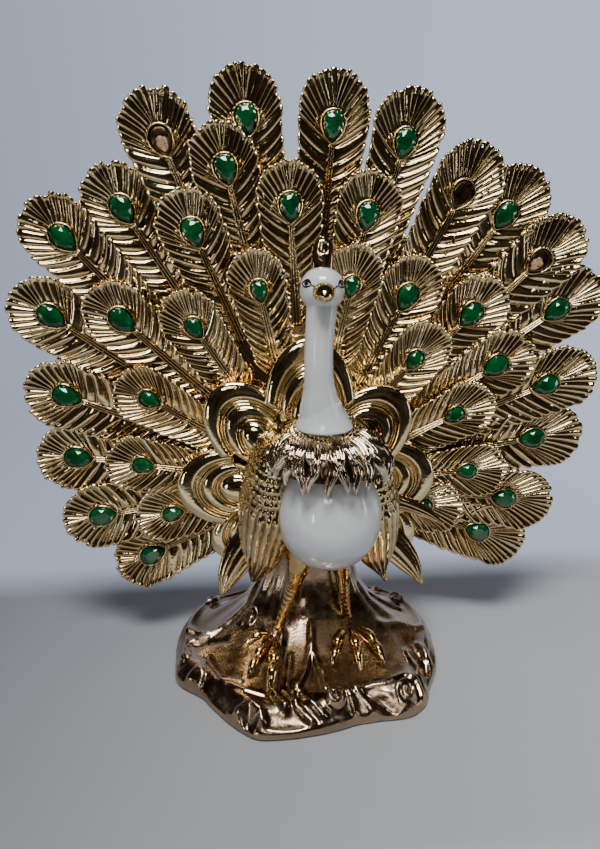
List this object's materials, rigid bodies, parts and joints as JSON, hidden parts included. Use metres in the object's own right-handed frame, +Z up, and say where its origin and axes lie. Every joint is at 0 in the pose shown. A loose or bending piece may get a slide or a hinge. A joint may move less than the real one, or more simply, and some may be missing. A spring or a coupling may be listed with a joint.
{
  "type": "peacock figurine",
  "caption": "Displaying peacock figurine in gold and white glazed ceramic, its fanned tail set with pear-shaped green stones, on a flowing rock base.",
  "frame": {"origin": "on the flat underside of the base, below the neck and near the middle of the base", "axes": "+Z up; the bird faces -Y and the fan of its tail is behind it, towards +Y; +X is to the right of someone who looks at its face"},
  "size_m": [0.3961, 0.1494, 0.3846],
  "materials": {
    "gold": "mirror-bright champagne gold lustre over glazed ceramic",
    "white_glaze": "glossy white glaze on the neck, head and breast of the same casting",
    "green_stone": "faceted deep green, foil backed"
  },
  "bodies": {
    "root": {"peacock": "gold", "outer_stone_01": "green_stone", "outer_stone_02": "green_stone", "outer_stone_03": "green_stone", "outer_stone_04": "green_stone", "outer_stone_05": "green_stone", "outer_stone_06": "green_stone", "outer_stone_07": "green_stone", "outer_stone_09": "green_stone", "outer_stone_10": "green_stone", "outer_stone_11": "green_stone", "outer_stone_13": "green_stone", "outer_stone_15": "green_stone", "outer_stone_16": "green_stone", "outer_stone_17": "green_stone", "outer_stone_18": "green_stone", "outer_stone_19": "green_stone", "middle_stone_01": "green_stone", "middle_stone_02": "green_stone", "middle_stone_03": "green_stone", "middle_stone_04": "green_stone", "middle_stone_05": "green_stone", "middle_stone_06": "green_stone", "middle_stone_07": "green_stone", "middle_stone_08": "green_stone", "inner_stone_01": "green_stone", "inner_stone_02": "green_stone", "inner_stone_03": "green_stone", "inner_stone_04": "green_stone", "inner_stone_05": "green_stone", "inner_stone_06": "green_stone", "inner_stone_07": "green_stone", "inner_stone_08": "green_stone", "inner_stone_09": "green_stone", "inner_stone_10": "green_stone"}
  },
  "joints": []
}
